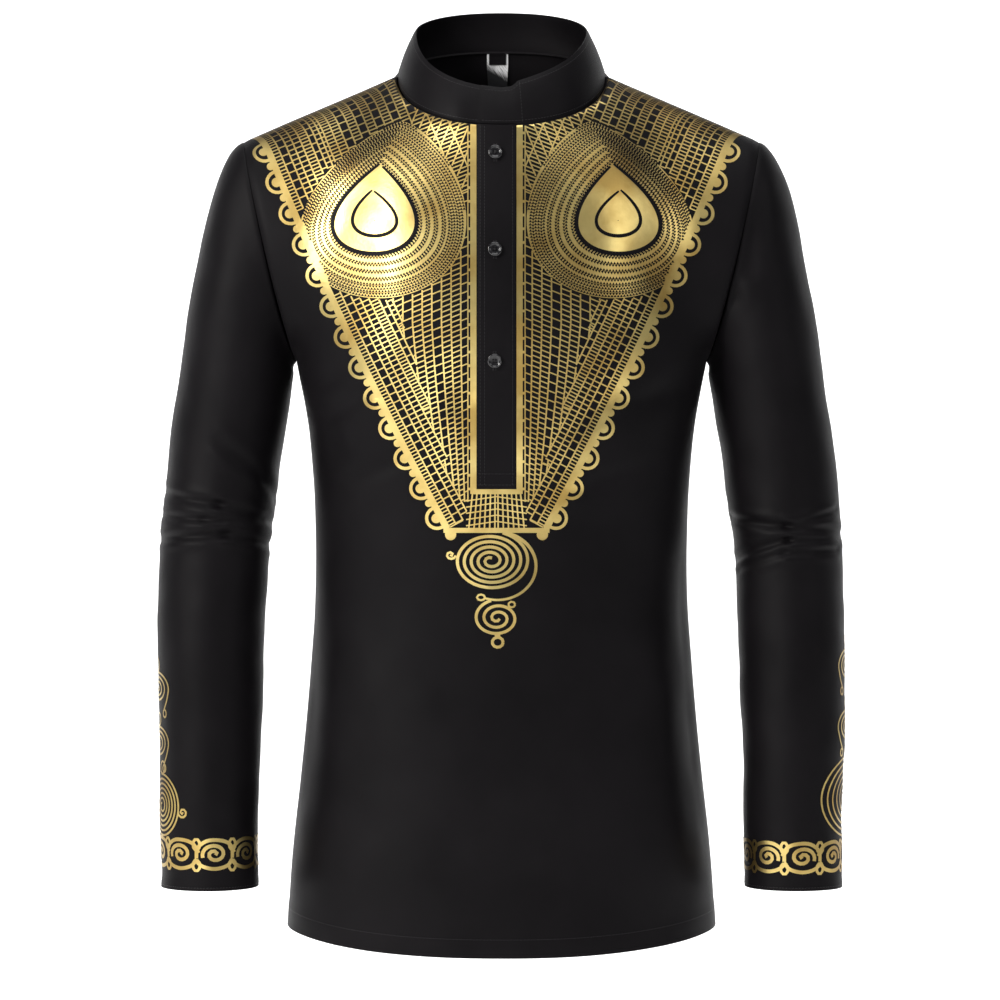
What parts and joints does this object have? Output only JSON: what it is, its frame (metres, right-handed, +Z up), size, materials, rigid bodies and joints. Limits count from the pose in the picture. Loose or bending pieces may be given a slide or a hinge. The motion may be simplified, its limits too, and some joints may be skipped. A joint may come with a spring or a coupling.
{
  "type": "dashiki shirt",
  "caption": "Slim long-sleeved dashiki shirt with a stand collar and a buttoned half placket, filled out as if worn, open at neck, hem and cuffs.",
  "frame": {"origin": "midway between the neck ends of the two shoulder seams, where the wearer's shoulders hold the shirt", "axes": "+Z up along the wearer, -Y to the front, +X to the wearer's left"},
  "size_m": [0.5736, 0.2369, 0.7881],
  "materials": {
    "cloth": "fine black shirting with a soft satin sheen",
    "buttons": "glossy black",
    "label": "silvery woven tape"
  },
  "bodies": {
    "root": {"front": "cloth", "back": "cloth", "sleeve_left": "cloth", "sleeve_right": "cloth", "collar": "cloth", "placket_over": "cloth", "placket_under": "cloth", "button_1": "buttons", "button_2": "buttons", "button_3": "buttons", "neck_label": "label"}
  },
  "joints": []
}
